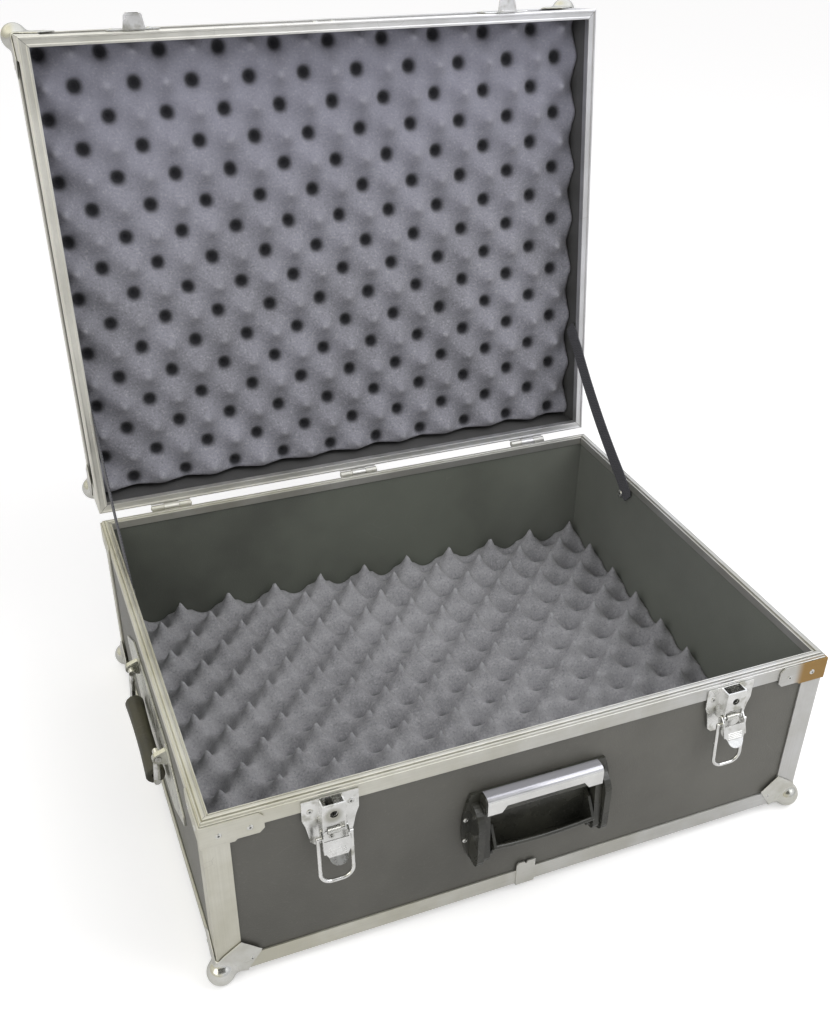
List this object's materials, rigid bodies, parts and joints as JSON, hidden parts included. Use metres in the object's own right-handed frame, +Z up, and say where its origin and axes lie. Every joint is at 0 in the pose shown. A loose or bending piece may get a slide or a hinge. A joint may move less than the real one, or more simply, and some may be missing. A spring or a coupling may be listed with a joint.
{
  "type": "shockproof case",
  "caption": "Panelled case with aluminium trim, ball corners, egg-crate foam, a hinged lid on webbing stays, bail latches, a folding front handle and side bail handles.",
  "frame": {"origin": "centre of the open case's bounding box, on the ground under its ball corners", "axes": "+Z up, -Y towards the front with the handle and latches, +X to the right seen from the front"},
  "size_m": [0.5966, 0.6092, 0.6474],
  "materials": {
    "laminate": "charcoal laminate with a fine pebbled grain and a soft sheen",
    "trim_aluminium": "brushed anodised extrusion",
    "chrome_steel": "bright plated pressed steel and wire",
    "black_plastic": "black moulded plastic, satin",
    "foam": "grey open-cell foam, matt and finely porous",
    "webbing": "grey woven webbing"
  },
  "bodies": {
    "base": {"base_floor_panel": "laminate", "base_front_panel": "laminate", "base_back_panel": "laminate", "base_left_panel": "laminate", "base_right_panel": "laminate", "base_rim": "trim_aluminium", "base_corner_angle_front_left": "trim_aluminium", "base_corner_angle_front_right": "trim_aluminium", "base_corner_angle_back_left": "trim_aluminium", "base_corner_angle_back_right": "trim_aluminium", "base_bottom_angle_front": "trim_aluminium", "base_bottom_angle_back": "trim_aluminium", "base_bottom_angle_left": "trim_aluminium", "base_bottom_angle_right": "trim_aluminium", "base_corner_bracket_front_left": "trim_aluminium", "base_corner_bracket_front_right": "trim_aluminium", "base_corner_bracket_back_left": "trim_aluminium", "base_corner_bracket_back_right": "trim_aluminium", "base_ball_corner_front_left": "chrome_steel", "base_ball_corner_front_right": "chrome_steel", "base_ball_corner_back_left": "chrome_steel", "base_ball_corner_back_right": "chrome_steel", "base_foam": "foam", "hinge_base_leaf_left": "trim_aluminium", "hinge_base_leaf_middle": "trim_aluminium", "hinge_base_leaf_right": "trim_aluminium", "latch_plate_left": "chrome_steel", "latch_plate_right": "chrome_steel", "front_handle_base": "black_plastic", "side_handle_plate_left": "chrome_steel", "side_handle_plate_right": "chrome_steel", "stay_strap_left": "webbing", "stay_strap_right": "webbing"},
    "lid": {"lid_top_panel": "laminate", "lid_front_panel": "laminate", "lid_back_panel": "laminate", "lid_left_panel": "laminate", "lid_right_panel": "laminate", "lid_rim": "trim_aluminium", "lid_edge_trim": "trim_aluminium", "lid_ball_corner_front_left": "chrome_steel", "lid_ball_corner_front_right": "chrome_steel", "lid_ball_corner_back_left": "chrome_steel", "lid_ball_corner_back_right": "chrome_steel", "lid_catch_left": "chrome_steel", "lid_catch_right": "chrome_steel", "lid_foam": "foam", "hinge_lid_leaf_left": "trim_aluminium", "hinge_lid_leaf_middle": "trim_aluminium", "hinge_lid_leaf_right": "trim_aluminium"},
    "latch_lever_left": {"latch_lever_left": "chrome_steel"},
    "latch_lever_right": {"latch_lever_right": "chrome_steel"},
    "latch_bail_left": {"latch_bail_left": "chrome_steel"},
    "latch_bail_right": {"latch_bail_right": "chrome_steel"},
    "front_handle": {"front_handle_grip": "black_plastic", "front_handle_cover": "chrome_steel"},
    "side_handle_left": {"side_handle_bail_left": "chrome_steel", "side_handle_grip_left": "black_plastic"},
    "side_handle_right": {"side_handle_bail_right": "chrome_steel", "side_handle_grip_right": "black_plastic"}
  },
  "joints": [
    {"name": "lid_hinge", "type": "hinge", "parent": "base", "child": "lid", "pos_m": [0, 0.172, 0.1843], "axis": [1, 0, 0], "range_deg": [0, 96.84], "deforming": ["stay_strap_left", "stay_strap_right"]},
    {"name": "latch_lever_left_swing", "type": "hinge", "parent": "base", "child": "latch_lever_left", "pos_m": [-0.1806, -0.2885, 0.15], "axis": [1, 0, 0], "range_deg": [-100, 12]},
    {"name": "latch_bail_left_swing", "type": "hinge", "parent": "latch_lever_left", "child": "latch_bail_left", "pos_m": [-0.1806, -0.29021, 0.1453], "axis": [-1, 0, 0], "range_deg": [-6, 185.5]},
    {"name": "latch_lever_right_swing", "type": "hinge", "parent": "base", "child": "latch_lever_right", "pos_m": [0.1806, -0.2885, 0.15], "axis": [1, 0, 0], "range_deg": [-100, 12]},
    {"name": "latch_bail_right_swing", "type": "hinge", "parent": "latch_lever_right", "child": "latch_bail_right", "pos_m": [0.1806, -0.29021, 0.1453], "axis": [-1, 0, 0], "range_deg": [-6, 185.5]},
    {"name": "front_handle_swing", "type": "hinge", "parent": "base", "child": "front_handle", "pos_m": [0, -0.29, 0.073], "axis": [1, 0, 0], "range_deg": [0, 95]},
    {"name": "side_handle_left_swing", "type": "hinge", "parent": "base", "child": "side_handle_left", "pos_m": [-0.287, -0.056, 0.113], "axis": [0, 1, 0], "range_deg": [0, 90]},
    {"name": "side_handle_right_swing", "type": "hinge", "parent": "base", "child": "side_handle_right", "pos_m": [0.287, -0.056, 0.113], "axis": [0, -1, 0], "range_deg": [0, 90]}
  ]
}
